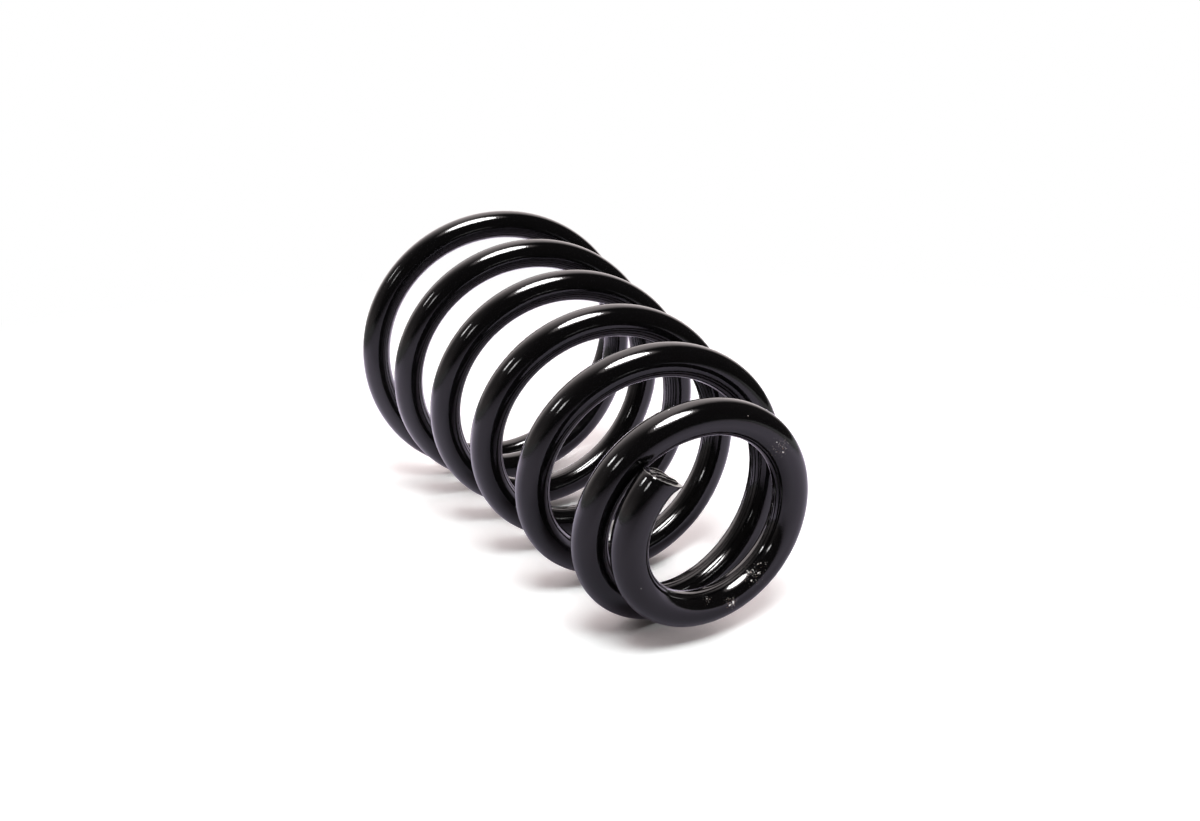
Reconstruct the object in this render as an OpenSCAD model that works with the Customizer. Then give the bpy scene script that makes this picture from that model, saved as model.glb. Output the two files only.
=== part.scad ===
// Conical compression spring of round wire, wound left-handed and lying on its side.
// The small end closes into a pigtail, and the large end closes flat.
// Millimetres, +Z up. The floor is z = 0, the small end faces -Y,
// and the origin is the middle of the footprint.

/* [Wire] */
// Diameter of the round wire
wire_d = 12; // [10:0.5:14]

/* [Open coils] */
// Mean diameter of the coil where the open coils begin
cone_small_d = 81.5; // [74:0.5:88]
// Mean diameter of the coil halfway along the open coils
cone_middle_d = 95; // [92:0.5:100]
// Mean diameter of the coil where the open coils end
cone_large_d = 115; // [106:0.5:122]
// Turns of open coil
open_turns = 4.5; // [3.5:0.25:5.5]
// Rise of the wire along the axis in each open turn
pitch = 36; // [30:0.5:42]

/* [Small end] */
// Mean diameter of the pigtail
pigtail_d = 63.5; // [58:0.5:70]
// Turns wound at the pigtail's diameter
pigtail_turns = 0.55; // [0.45:0.05:0.7]
// Turns in which the wire opens out from the pigtail to the cone
opening_turns = 0.85; // [0.65:0.05:1]
// Gap between the pigtail's cut end and the coil behind it
tip_gap = 0.7; // [0.5:0.1:3]

/* [Large end] */
// Turns of flat coil, from the last open coil to the cut
flat_turns = 0.74; // [0.6:0.02:0.8]
// Turns in which the pitch closes to nothing
closing_turns = 0.25; // [0.15:0.05:0.4]

/* [Cut ends] */
// Slant of the sheared faces away from square, longest on the coil's inside
shear_angle = 13; // [0:1:20]

/* [Resting place] */
// Turns from the small cut end to the wire's first pass under the axis
rest_turn = 0.3625; // [0.3125:0.025:0.4125]

/* [Hidden] */

// Black coat over the whole wire
coat_colour = [0.03, 0.03, 0.035];
// Cross-sections in each turn, and sides of each cross-section
rings_per_turn = 40;
wire_sides = 16;
// Short step along the wire that gives its heading
heading_step = 0.001;

// Turns at which the open coils begin and end, and the turns of the whole wire
open_start = pigtail_turns + opening_turns;
open_end = open_start + open_turns;
turns = open_end + flat_turns;

// The flats of a cross-section, and of each turn, touch the true round from outside
section_r = wire_d / 2 / cos(180 / wire_sides);
turn_widening = 1 / cos(180 / rings_per_turn);

// Growth from 0 to 1 that starts and ends gently, and the area under it
function ease(u) = let (c = min(max(u, 0), 1)) c * c * (3 - 2 * c);
function ease_area(u) = let (c = min(max(u, 0), 1)) pow(c, 3) - pow(c, 4) / 2 + max(u - 1, 0);

// Mean diameter of the cone through its three diameters, carried on past both of its ends
cone_waist = (cone_small_d + cone_large_d) / 2 - cone_middle_d;
function cone_d(t) =
    let (u = (t - open_start) / open_turns)
    cone_small_d + (cone_large_d - cone_small_d) * u - 4 * cone_waist * u * (1 - u);

// Mean diameter of the coil after t turns from the small cut end
function coil_d(t) =
    pigtail_d + (cone_d(t) - pigtail_d) * ease((t - pigtail_turns) / opening_turns);

// The first turn rises just enough for its cut end to clear the next coil, which lies wider
opening_share = opening_turns * ease_area((1 - pigtail_turns) / opening_turns);
first_turn_rise = sqrt(pow(wire_d + tip_gap, 2) - pow((coil_d(1) - coil_d(0)) / 2, 2));
pigtail_pitch = (first_turn_rise - pitch * opening_share) / (1 - opening_share);

// Distance along the axis after t turns
function rise(t) =
    pigtail_pitch * t
    + (pitch - pigtail_pitch) * opening_turns * ease_area((t - pigtail_turns) / opening_turns)
    - pitch * closing_turns * ease_area((t - open_end) / closing_turns);

// Direction away from the axis, and centre of the wire, with the axis along +Y
function outward(t) = let (a = 360 * (t - rest_turn)) [sin(a), 0, -cos(a)];
function wire_centre(t) = outward(t) * coil_d(t) / 2 * turn_widening + [0, rise(t), 0];

function unit(v) = v / norm(v);
function heading(t) = unit(wire_centre(t + heading_step) - wire_centre(t - heading_step));

// Cross-section after t turns; lean carries its inner side along the wire
function ring(t, lean) =
    let (
        ahead = heading(t),
        out = unit(outward(t) - (outward(t) * ahead) * ahead),
        along = cross(ahead, out)
    )
    [for (k = [0 : wire_sides - 1])
        let (
            a = 360 * k / wire_sides,
            reach = lean * (1 - cos(a))
        )
        wire_centre(t) + section_r * (cos(a) * out + sin(a) * along + reach * ahead)];

// Turns of each cross-section: both cut ends, and even steps that leave a flat under the axis
ring_step = 1 / rings_per_turn;
end_margin = ring_step / 3;
ring_turns = concat(
    [0],
    [for (j = [floor(-rest_turn / ring_step) : ceil((turns - rest_turn) / ring_step)])
        let (t = rest_turn + (j + 0.5) * ring_step)
        if (t > end_margin && t < turns - end_margin) t],
    [turns]
);
last_ring = len(ring_turns) - 1;

// The small end leans back past its cut, the large end leans on past it
function end_lean(i) = i == 0 ? -tan(shear_angle) : i == last_ring ? tan(shear_angle) : 0;

upright_points = [for (i = [0 : last_ring], p = ring(ring_turns[i], end_lean(i))) p];

// The spring lies on its last coil and on the earlier coil that the floor meets first
bottom_turns = [for (k = [0 : floor(turns - rest_turn)]) rest_turn + k];
last_bottom = bottom_turns[len(bottom_turns) - 1];
lie_slope = min([for (t = bottom_turns) if (t < last_bottom)
    (coil_d(last_bottom) - coil_d(t)) / 2 / (rise(last_bottom) - rise(t))]);
lie_angle = atan(lie_slope);

function laid(p) = [
    p.x,
    p.y * cos(lie_angle) - p.z * sin(lie_angle),
    p.y * sin(lie_angle) + p.z * cos(lie_angle)
];

laid_points = [for (p = upright_points) laid(p)];
low = [for (k = [0 : 2]) min([for (p = laid_points) p[k]])];
high = [for (k = [0 : 2]) max([for (p = laid_points) p[k]])];
footprint_middle = [(low.x + high.x) / 2, (low.y + high.y) / 2, low.z];

// Two triangles between neighbouring cross-sections
function strip(i, k) =
    let (
        a = i * wire_sides + k,
        b = i * wire_sides + (k + 1) % wire_sides
    )
    [[a, a + wire_sides, b], [b, a + wire_sides, b + wire_sides]];

// The wound wire, from the pigtail's cut to the large end's cut
module spring_coil() {
    small_cut = [for (k = [0 : wire_sides - 1]) k];
    large_cut = [for (k = [wire_sides - 1 : -1 : 0]) last_ring * wire_sides + k];
    wall = [for (i = [0 : last_ring - 1], k = [0 : wire_sides - 1], f = strip(i, k)) f];
    color(coat_colour)
        polyhedron(
            points = [for (p = laid_points) p - footprint_middle],
            faces = concat([small_cut], wall, [large_cut])
        );
}

spring_coil();
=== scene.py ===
import math

import bpy
from mathutils import Matrix, Vector


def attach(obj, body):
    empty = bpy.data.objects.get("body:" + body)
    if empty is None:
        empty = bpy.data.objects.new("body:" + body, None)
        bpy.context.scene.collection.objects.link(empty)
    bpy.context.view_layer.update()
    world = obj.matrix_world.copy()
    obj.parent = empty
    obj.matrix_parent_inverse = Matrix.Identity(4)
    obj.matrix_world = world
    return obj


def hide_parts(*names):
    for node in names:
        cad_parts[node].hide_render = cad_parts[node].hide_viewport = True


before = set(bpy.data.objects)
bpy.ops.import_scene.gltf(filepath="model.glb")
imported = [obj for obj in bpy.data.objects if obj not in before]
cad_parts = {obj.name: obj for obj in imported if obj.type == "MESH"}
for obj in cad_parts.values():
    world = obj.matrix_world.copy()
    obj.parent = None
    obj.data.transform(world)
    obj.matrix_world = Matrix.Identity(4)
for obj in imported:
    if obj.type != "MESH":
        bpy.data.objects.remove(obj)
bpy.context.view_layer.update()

# Camera: close in front of the small end and to its left, looking down along the lying spring.
# The wide lens this near makes the small end loom over the coils behind it.
camera_place = Matrix.Translation((-0.1597, -0.3294, 0.1691))
camera_turn = Matrix.Rotation(math.radians(-26.69), 4, "Z")
camera_tip = Matrix.Rotation(math.radians(90 - 17.23), 4, "X")
camera_roll = Matrix.Rotation(math.radians(-0.88), 4, "Z")
bpy.ops.object.camera_add()
camera = bpy.context.object
camera.name = "camera"
camera.matrix_world = camera_place @ camera_turn @ camera_tip @ camera_roll
camera.data.sensor_fit = "HORIZONTAL"
camera.data.sensor_width = 36
camera.data.lens = 28.8
camera.data.clip_start = 0.01
bpy.context.scene.camera = camera

# Wound wire: one round steel bar, coiled left-handed on a tapered former, closed into a pigtail
# at the small end and laid flat at the large end. It lies on its side,
# on its second coil and its last one.
wire_r = 0.006
cone_small_d, cone_middle_d, cone_large_d = 0.0815, 0.095, 0.115
open_turns = 4.5
pitch = 0.036
pigtail_d = 0.0635
pigtail_turns = 0.55
opening_turns = 0.85
tip_gap = 0.0007
flat_turns = 0.74
closing_turns = 0.25
rest_turn = 0.3625
open_start = pigtail_turns + opening_turns
open_end = open_start + open_turns
turns = open_end + flat_turns


def ease(u):
    c = min(max(u, 0), 1)
    return c * c * (3 - 2 * c)


def ease_area(u):
    c = min(max(u, 0), 1)
    return c ** 3 - c ** 4 / 2 + max(u - 1, 0)


def coil_d(t):
    u = (t - open_start) / open_turns
    waist = (cone_small_d + cone_large_d) / 2 - cone_middle_d
    cone_d = cone_small_d + (cone_large_d - cone_small_d) * u - 4 * waist * u * (1 - u)
    return pigtail_d + (cone_d - pigtail_d) * ease((t - pigtail_turns) / opening_turns)


# The first turn rises just enough for its cut end to clear the next coil, which lies wider
opening_share = opening_turns * ease_area((1 - pigtail_turns) / opening_turns)
first_turn_rise = math.sqrt((2 * wire_r + tip_gap) ** 2 - ((coil_d(1) - coil_d(0)) / 2) ** 2)
pigtail_pitch = (first_turn_rise - pitch * opening_share) / (1 - opening_share)


def rise(t):
    opened = (pitch - pigtail_pitch) * opening_turns * ease_area((t - pigtail_turns) / opening_turns)
    closed = pitch * closing_turns * ease_area((t - open_end) / closing_turns)
    return pigtail_pitch * t + opened - closed


# The coil's axis starts here in the solid's frame, and rises towards the large end
axis_start = Vector((-0.001368, -0.097047, 0.043829))
bottoms = [rest_turn + k for k in range(int(turns - rest_turn) + 1)]
lie_slope = min(
    (coil_d(bottoms[-1]) - coil_d(t)) / 2 / (rise(bottoms[-1]) - rise(t)) for t in bottoms[:-1]
)
lying = Matrix.Translation(axis_start) @ Matrix.Rotation(math.atan(lie_slope), 4, "X")


def outward(t):
    a = 2 * math.pi * (t - rest_turn)
    return Vector((math.sin(a), 0, -math.cos(a)))


def wire_centre(t):
    return lying @ (outward(t) * coil_d(t) / 2 + Vector((0, rise(t), 0)))


def wire_axes(t):
    """Heading of the wire after t turns, its side away from the axis, and its side along the axis."""
    heading_step = 0.001
    ahead = (wire_centre(t + heading_step) - wire_centre(t - heading_step)).normalized()
    out = lying.to_3x3() @ outward(t)
    out = (out - out.dot(ahead) * ahead).normalized()
    return ahead, out, ahead.cross(out)


rings_per_turn = 120
wire_sides = 48
spare_turns = 0.03
# The wire is a hair thinner than the solid's, so that light shows in the gap beside its cut tip
wire_share = 0.99
ring_count = round((turns + 2 * spare_turns) * rings_per_turn) + 1
bpy.ops.object.select_all(action="DESELECT")
bpy.ops.curve.primitive_nurbs_path_add()
wire = bpy.context.object
wire.name = "wound_wire"
wire.data.splines.clear()
path = wire.data.splines.new("POLY")
path.points.add(ring_count - 1)
for k, point in enumerate(path.points):
    t = -spare_turns + (turns + 2 * spare_turns) * k / (ring_count - 1)
    point.co = (*wire_centre(t), 1)
wire.data.dimensions = "3D"
wire.data.twist_mode = "MINIMUM"
wire.data.bevel_depth = wire_share * wire_r
wire.data.bevel_resolution = wire_sides // 2 - 2
bpy.ops.object.convert(target="MESH")

# Cut ends: the wound bar is sheared off, so each face leans and is longest on the coil's inside,
# where the steel drags out into a thin lip. Curved tear marks run across the face, and part of
# its rim is painted a pale grey, for a burr and the painted highlight along its lit edge.
shear_lean = math.tan(math.radians(13))
side_lean = {"small": 0.055, "large": 0}
end_rings = 12
lip_reach = 0.0011
lip_rise = 0.4
lip_run = 0.0045
lip_turn = math.radians(205)
rim_width = 0.00025
rim_rise = 0.00012
rim_wear = 0.9
face_cuts = 3
ridge_spacing = 0.0033
ridge_height = 0.0006
ridge_bow = 45
ridge_wander = 0.0003


def ridge_at(across, inward):
    """Height of the tear marks at a place on the cut face, from 0 to 1."""
    fade = max(0, 1 - (math.hypot(across, inward) / (0.97 * wire_r)) ** 10)
    bow = across + ridge_bow * inward * inward + ridge_wander * math.sin(inward / 0.0011)
    uneven = 0.9 * math.sin(bow / 0.0013 + 1)
    ridge = 0.5 + 0.5 * math.sin(2 * math.pi * bow / ridge_spacing + uneven)
    patchy = 0.87 + 0.13 * math.sin(inward / 0.0008 + 3 * math.sin(across / 0.0015))
    return fade * patchy * ridge ** 2


end_vertices = end_rings * wire_sides
for end, first in (("small", 0), ("large", len(wire.data.vertices) - end_vertices)):
    wire.vertex_groups.new(name=end).add(list(range(first, first + end_vertices)), 1, "REPLACE")
wire.data.attributes.new("tear", "FLOAT", "POINT")
for end, t in (("small", 0), ("large", turns)):
    ahead, out, along = wire_axes(t)
    onward = -ahead if end == "small" else ahead
    face_normal = (onward + shear_lean * out + side_lean[end] * along).normalized()
    middle = wire_centre(t)
    shortest = middle + wire_r * (out + side_lean[end] * onward)
    bpy.ops.object.mode_set(mode="EDIT")
    bpy.ops.mesh.select_mode(type="VERT")
    bpy.ops.mesh.select_all(action="DESELECT")
    bpy.ops.object.vertex_group_set_active(group=end)
    bpy.ops.object.vertex_group_select()
    bpy.ops.mesh.bisect(plane_co=shortest, plane_no=face_normal, clear_outer=True)
    bpy.ops.object.mode_set(mode="OBJECT")
    rim = [vertex.index for vertex in wire.data.vertices if vertex.select]
    lip_side = math.cos(lip_turn) * out + math.sin(lip_turn) * along
    end_group = wire.vertex_groups[end].index
    for vertex in wire.data.vertices:
        if end_group not in [member.group for member in vertex.groups]:
            continue
        depth = (shortest - vertex.co).dot(face_normal)
        beside = (vertex.co - middle) - (vertex.co - middle).dot(ahead) * ahead
        pull = max(0, beside.normalized().dot(lip_side)) ** 4 * max(0, 1 - depth / lip_run) ** 2
        vertex.co += lip_reach * pull * (lip_side + lip_rise * face_normal)
    bpy.ops.object.mode_set(mode="EDIT")
    bpy.ops.mesh.fill_grid(span=wire_sides // 4)
    bpy.ops.mesh.inset(thickness=rim_width, depth=rim_rise)
    bpy.ops.mesh.subdivide(number_cuts=face_cuts)
    bpy.ops.object.mode_set(mode="OBJECT")
    ridges = {}
    burr_highlight = {}
    for vertex in wire.data.vertices:
        if not vertex.select:
            continue
        place = vertex.co - middle
        across, inward = place.dot(along), -place.dot(out)
        ridges[vertex.index] = ridge_at(across, inward)
        # Burr: part of the rim painted paler, partly a painted highlight along its lit edge
        if across < 0.3 * wire_r and math.hypot(across, inward) > 0.9 * wire_r:
            burr_highlight[vertex.index] = 1 + 0.4 * min(max(inward / wire_r + 0.5, 0), 1)
    # Tear marks and rim wear, with the burr's painted highlight
    wear = ridges | dict.fromkeys(rim, rim_wear) | burr_highlight
    tear = wire.vertex_groups.new(name=end + "_tear")
    for index, amount in wear.items():
        wire.data.attributes["tear"].data[index].value = amount
    for index, height in ridges.items():
        tear.add([index], height, "REPLACE")
    push = wire.modifiers.new("tear_marks", "DISPLACE")
    push.vertex_group = tear.name
    push.mid_level = 0
    push.strength = ridge_height
    bpy.ops.object.modifier_apply(modifier=push.name)
wire.vertex_groups.clear()
bpy.ops.object.shade_smooth_by_angle(angle=math.radians(40))


# Black coat: a gloss enamel dipped over the whole wire, with a faint orange peel.
# It is chipped to bare steel where the near ring has been knocked, and thin on the torn ends.
# Its freshest chips are painted near white as their glints, and part of each cut rim paler as a burr's
# highlight.
class Shade:
    """One output of a shader's nodes. Arithmetic on it adds the Math nodes."""

    def __init__(self, tree, socket=None):
        self.tree = tree
        self.socket = socket

    def node(self, kind, settings, sockets, output=0):
        made = self.tree.nodes.new(kind)
        for name, value in settings.items():
            setattr(made, name, value)
        for name, value in sockets.items():
            if isinstance(value, Shade):
                self.tree.links.new(value.socket, made.inputs[name])
            else:
                made.inputs[name].default_value = value
        return Shade(self.tree, made.outputs[output])

    def maths(self, operation, first, second):
        return self.node("ShaderNodeMath", {"operation": operation}, {0: first, 1: second})

    def ramp(self, low, high, ends=(0, 1), soft=False):
        """Goes from one end to the other while this output goes from low to high."""
        settings = {"interpolation_type": "SMOOTHSTEP" if soft else "LINEAR"}
        limits = {"From Min": low, "From Max": high, "To Min": ends[0], "To Max": ends[1]}
        return self.node("ShaderNodeMapRange", settings, {"Value": self, **limits})

    def blend(self, first, second):
        """Colour that goes from the first to the second while this output goes from 0 to 1."""
        return self.node("ShaderNodeMix", {"data_type": "RGBA"}, {0: self, 6: first, 7: second}, 2)

    def __add__(self, other):
        return self.maths("ADD", self, other)

    def __radd__(self, other):
        return self.maths("ADD", other, self)

    def __sub__(self, other):
        return self.maths("SUBTRACT", self, other)

    def __rsub__(self, other):
        return self.maths("SUBTRACT", other, self)

    def __mul__(self, other):
        return self.maths("MULTIPLY", self, other)

    def __rmul__(self, other):
        return self.maths("MULTIPLY", other, self)


black = (0.0015, 0.0014, 0.0016, 1)
torn_grey = (0.28, 0.27, 0.26, 1)
# A burr's bare steel, painted paler as the highlight along its lit edge
burr_highlight_grey = (0.6, 0.58, 0.56, 1)
chip_grey = (0.4, 0.38, 0.36, 1)
# Fresh chips: bare steel painted near white, a painted glint
fresh_glint_grey = (0.9, 0.88, 0.87, 1)
rust = (0.2, 0.12, 0.08, 1)
# Each scuff's turn along the wire, side of the wire in degrees, reach, and depth,
# 1 being bare steel painted near white as its glint
scuffs = [
    (0.463, -135, 0.0024, 0.13), (0.465, -138, 0.0009, 0.28), (0.487, -142, 0.0008, 0.28),
    (0.492, -130, 0.0009, 0.26), (0.46, -157, 0.0006, 0.26), (0.45, -126, 0.0006, 1),
    (0.471, -127, 0.0006, 1), (0.396, -104, 0.0022, 0.24), (0.399, -105, 0.0006, 1),
    (0.391, -103, 0.0005, 1), (0.349, -142, 0.0014, 0.2), (0.74, -101, 0.0022, 0.1),
    (0.752, -96, 0.0004, 1), (0.728, -105, 0.0005, 1), (0.174, -85, 0.0003, 1),
    (0.821, -61, 0.0004, 1), (0.924, 4, 0.0005, 1),
]
ragged = 0.0016
coat = bpy.data.materials.new("gloss_black_enamel")
coat.use_nodes = True
enamel = coat.node_tree.nodes["Principled BSDF"]
paint = Shade(coat.node_tree)
place = paint.node("ShaderNodeTexCoord", {}, {}, "Object")


def mottle(scale, detail, roughness, output=0):
    sockets = {"Vector": place, "Scale": scale, "Detail": detail, "Roughness": roughness}
    return paint.node("ShaderNodeTexNoise", {}, sockets, output)


peel = mottle(1600, 2, 0.5)
grain = mottle(90, 3, 0.6)
crumble = mottle(2200, 2, 0.6)
stir = mottle(1300, 1, 0.5, "Color")
stirring = {0: stir, 1: (ragged,) * 3, 2: place}
astray = paint.node("ShaderNodeVectorMath", {"operation": "MULTIPLY_ADD"}, stirring)
bare = -1
for chip_turn, chip_side, chip_r, depth in scuffs:
    ahead, out, along = wire_axes(chip_turn)
    side = math.radians(chip_side)
    surface = wire_centre(chip_turn) + wire_r * (math.cos(side) * out + math.sin(side) * along)
    spot = surface + Vector((ragged / 2,) * 3)
    away = paint.node("ShaderNodeVectorMath", {"operation": "DISTANCE"}, {0: astray, 1: spot}, "Value")
    bare = paint.maths("MAXIMUM", depth - away * (depth / chip_r), bare)
broken = (0.6 * bare + crumble).ramp(0.62, 0.72)
tear_and_burr_highlight = paint.node("ShaderNodeAttribute", {"attribute_name": "tear"}, {}, "Fac")
worn = (tear_and_burr_highlight + 0.6 * crumble).ramp(0.85, 1.15)
steel = paint.maths("MAXIMUM", broken, worn)
# Torn ends go grey, and the burr paler still as a painted highlight
torn = worn.blend(black, tear_and_burr_highlight.ramp(1, 1.3).blend(torn_grey, burr_highlight_grey))
# Fresh chips are painted near white and not metallic, a painted glint
fresh_and_glint = bare.ramp(0.3, 0.5)
chip = fresh_and_glint.blend(peel.ramp(0.5, 0.6).blend(chip_grey, rust), fresh_glint_grey)
colour = broken.blend(torn, chip)
rough = 0.045 + 0.045 * grain + 0.25 * steel
metal = 0.5 * steel * (1 - fresh_and_glint)
height = peel * 0.7 + grain * 0.3 - 0.8 * steel
bump = paint.node("ShaderNodeBump", {}, {"Height": height, "Strength": 0.5, "Distance": 0.00004})
coat.node_tree.links.new(colour.socket, enamel.inputs["Base Color"])
coat.node_tree.links.new(rough.socket, enamel.inputs["Roughness"])
coat.node_tree.links.new(metal.socket, enamel.inputs["Metallic"])
coat.node_tree.links.new(bump.socket, enamel.inputs["Normal"])
wire.data.materials.clear()
wire.data.materials.append(coat)
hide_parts("spring_coil")
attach(wire, "root")

# Floor: a plain white sheet that runs out of view on every side and takes the coils' soft shadows.
# The camera sees it as white further off, and near the wire it is painted darker as a contact shadow.
# The coat mirrors it with a painted soft shade in front of the spring and beneath it.
plain_white = (0.9, 0.9, 0.9, 1)
lit = (0.87, 0.81, 1)
shaded = (0.14, 0.12, 0.14, 1)
shade_softness = 0.43
contact_reach = 0.016
white_from, white_past = 0.3, 0.7
bpy.ops.object.select_all(action="DESELECT")
bpy.ops.mesh.primitive_plane_add(size=8)
floor = bpy.context.object
floor.name = "floor"
white_sheet = bpy.data.materials.new("white_sheet")
white_sheet.use_nodes = True
sheet = Shade(white_sheet.node_tree)
seen = sheet.node("ShaderNodeLightPath", {}, {}, "Is Camera Ray")
mirrored = sheet.node("ShaderNodeLightPath", {}, {}, "Is Glossy Ray")
spot = sheet.node("ShaderNodeTexCoord", {}, {}, "Object")
x = sheet.node("ShaderNodeSeparateXYZ", {}, {0: spot}, "X")
y = sheet.node("ShaderNodeSeparateXYZ", {}, {0: spot}, "Y")


def past_edge(facing, margin):
    """How far a place lies past a straight edge of the shade, which faces this many degrees from +X."""
    turn = math.radians(facing)
    return math.cos(turn) * x + math.sin(turn) * y + margin


# Painted shade and light in what the coat mirrors: dark in a wedge in front of the spring, half as
# bright beneath it, lighter behind it and dimmer far to the left
shade = sheet.maths("MINIMUM", past_edge(-73.7, 0.1), past_edge(218.4, 0.048))
shade = shade.ramp(0, shade_softness, soft=True)
lighter = y.ramp(-0.04, 0.16, (0.93, 2))
dimmer = x.ramp(-0.5, -0.08, (0.5, 1))
beneath = sheet.maths("ABSOLUTE", x - 0.01, 0).ramp(0.1, 0.03, soft=True)
behind_tip = y.ramp(-0.16, -0.1)
strength = lighter * dimmer * (1 - 0.5 * beneath * behind_tip)
brightest = sheet.node("ShaderNodeVectorMath", {"operation": "SCALE"}, {0: lit, "Scale": strength})
painted_mirror_tone = shade.blend(brightest, shaded)
# Painted contact shadow: to the camera the sheet is painted darker where the wire comes near it
clear = sheet.node("ShaderNodeAmbientOcclusion", {"samples": 12}, {"Distance": contact_reach}, "AO")
painted_contact_shadow = clear.ramp(0.45, 0.65, (0.42, 1.24))
seen_sheet = sheet.node("ShaderNodeBsdfDiffuse", {}, {"Color": painted_contact_shadow})
other_sheet = sheet.node("ShaderNodeBsdfDiffuse", {}, {"Color": mirrored.blend(plain_white, painted_mirror_tone)})
matt = sheet.node("ShaderNodeMixShader", {}, {0: seen, 1: other_sheet, 2: seen_sheet})
# Further off, the sheet shines white to the camera; in the coat's reflection it glows as a painted
# light at about half white, less in the painted shade
distant = seen + mirrored * (0.52 - 0.48 * shade)
white = sheet.node("ShaderNodeEmission", {}, {"Color": distant, "Strength": 1})
away = sheet.node("ShaderNodeVectorMath", {"operation": "LENGTH"}, {0: spot}, "Value")
far = away.ramp(white_from, white_past, soft=True)
both = sheet.node("ShaderNodeMixShader", {}, {0: far * (seen + mirrored), 1: matt, 2: white})
sheet_output = white_sheet.node_tree.nodes["Material Output"]
white_sheet.node_tree.links.new(both.socket, sheet_output.inputs["Surface"])
floor.data.materials.append(white_sheet)

# Light: a soft lamp high over the small end gives the shadows, and a wide one the long streak
# on every coil, which burns out. Two small lamps on the left give the paired glints
# on the coils' shoulders. All but the first show only in the coat.
spring_middle = Vector((0, 0, 0.06))
key_way = (-0.24, -0.6, 1)
streak_way = (-0.09, -0.36, 1)
left_glint_way = (-0.826, 0.146, 0.545)
front_glint_way = (-0.786, -0.491, 0.375)


def hang_lamp(name, way, distance, size, watts):
    bpy.ops.object.light_add(type="AREA")
    lamp = bpy.context.object
    lamp.name = name
    towards = Vector(way).normalized()
    lamp.location = spring_middle + distance * towards
    lamp.rotation_euler = towards.to_track_quat("Z", "Y").to_euler()
    lamp.data.shape = "RECTANGLE"
    lamp.data.size, lamp.data.size_y = size
    lamp.data.energy = watts
    return lamp


key_lamp = hang_lamp("key_lamp", key_way, 1.2, (0.5, 0.3), 10.3)
key_lamp.data.color = (0.93, 1, 1)
key_lamp.visible_glossy = False
streak_lamp = hang_lamp("streak_lamp", streak_way, 2.2, (1.15, 1.05), 120)
streak_lamp.data.shape = "ELLIPSE"
streak_lamp.visible_diffuse = False
glints = (("left_glint", left_glint_way, 0.034), ("front_glint", front_glint_way, 0.018))
for name, way, watts in glints:
    glint_lamp = hang_lamp(name, way, 1.4, (0.2, 0.22), watts)
    glint_lamp.data.spread = math.radians(18)
    from_tip = glint_lamp.location - wire_centre(0)
    glint_lamp.rotation_euler = from_tip.to_track_quat("Z", "Y").to_euler()
    glint_lamp.visible_diffuse = False

# Room: white to the camera. The coat mirrors a bright white screen behind the spring,
# a paler left side, a halo about the streak's lamp and a dark room elsewhere.
# A window on the right and a faint pink light from all round fill the shadows.
screen_turn = math.radians(25)
window_way = (0.826, -0.146, 0.545)
fill_tint = (1.09, 0.97, 0.97, 1)
mirror_tint = (1, 0.9, 0.9, 1)
blank_white = (1, 1, 1, 1)
room = bpy.data.worlds.new("room")
bpy.context.scene.world = room
room.use_nodes = True
air = Shade(room.node_tree)
seen = air.node("ShaderNodeLightPath", {}, {}, "Is Camera Ray")
mirrored = air.node("ShaderNodeLightPath", {}, {}, "Is Glossy Ray")
direction = air.node("ShaderNodeTexCoord", {}, {}, "Generated")
x = air.node("ShaderNodeSeparateXYZ", {}, {0: direction}, "X")
y = air.node("ShaderNodeSeparateXYZ", {}, {0: direction}, "Y")
z = air.node("ShaderNodeSeparateXYZ", {}, {0: direction}, "Z")


def facing(way):
    """Cosine of the angle between a direction of the room and this one."""
    sockets = {0: direction, 1: Vector(way).normalized()}
    return air.node("ShaderNodeVectorMath", {"operation": "DOT_PRODUCT"}, sockets, "Value")


from_left = math.cos(screen_turn) * x + math.sin(screen_turn) * y
from_right = math.cos(screen_turn) * y - math.sin(screen_turn) * x
screen_width = from_left.ramp(-0.6, 0.4, soft=True) * from_right.ramp(-0.1, 0.3, soft=True)
screen = screen_width * (1.65 + 0.8 * z)
left = x.ramp(-0.4, -0.9, soft=True) * y.ramp(-0.55, 0.1)
low = z.ramp(0.3, 0, soft=True)
halo = facing(streak_way).ramp(0.925, 0.974, soft=True)
in_coat = 0.05 + screen + (0.22 + 0.25 * low) * left + 2.5 * halo
window = facing(window_way).ramp(0.848, 0.978, soft=True)
open_side = y.ramp(-0.75, -0.35)
fill = 6 * z * z * (1 - z) * open_side + 2.4 * window
level = in_coat * mirrored + fill * (1 - mirrored)
tint = mirrored.blend(fill_tint, mirror_tint)
glow = air.node("ShaderNodeBackground", {}, {"Color": tint, "Strength": level})
blank = air.node("ShaderNodeBackground", {}, {"Color": blank_white, "Strength": 1})
sky = air.node("ShaderNodeMixShader", {}, {0: seen, 1: glow, 2: blank})
room.node_tree.links.new(sky.socket, room.node_tree.nodes["World Output"].inputs["Surface"])

bpy.context.scene.view_settings.view_transform = "Standard"
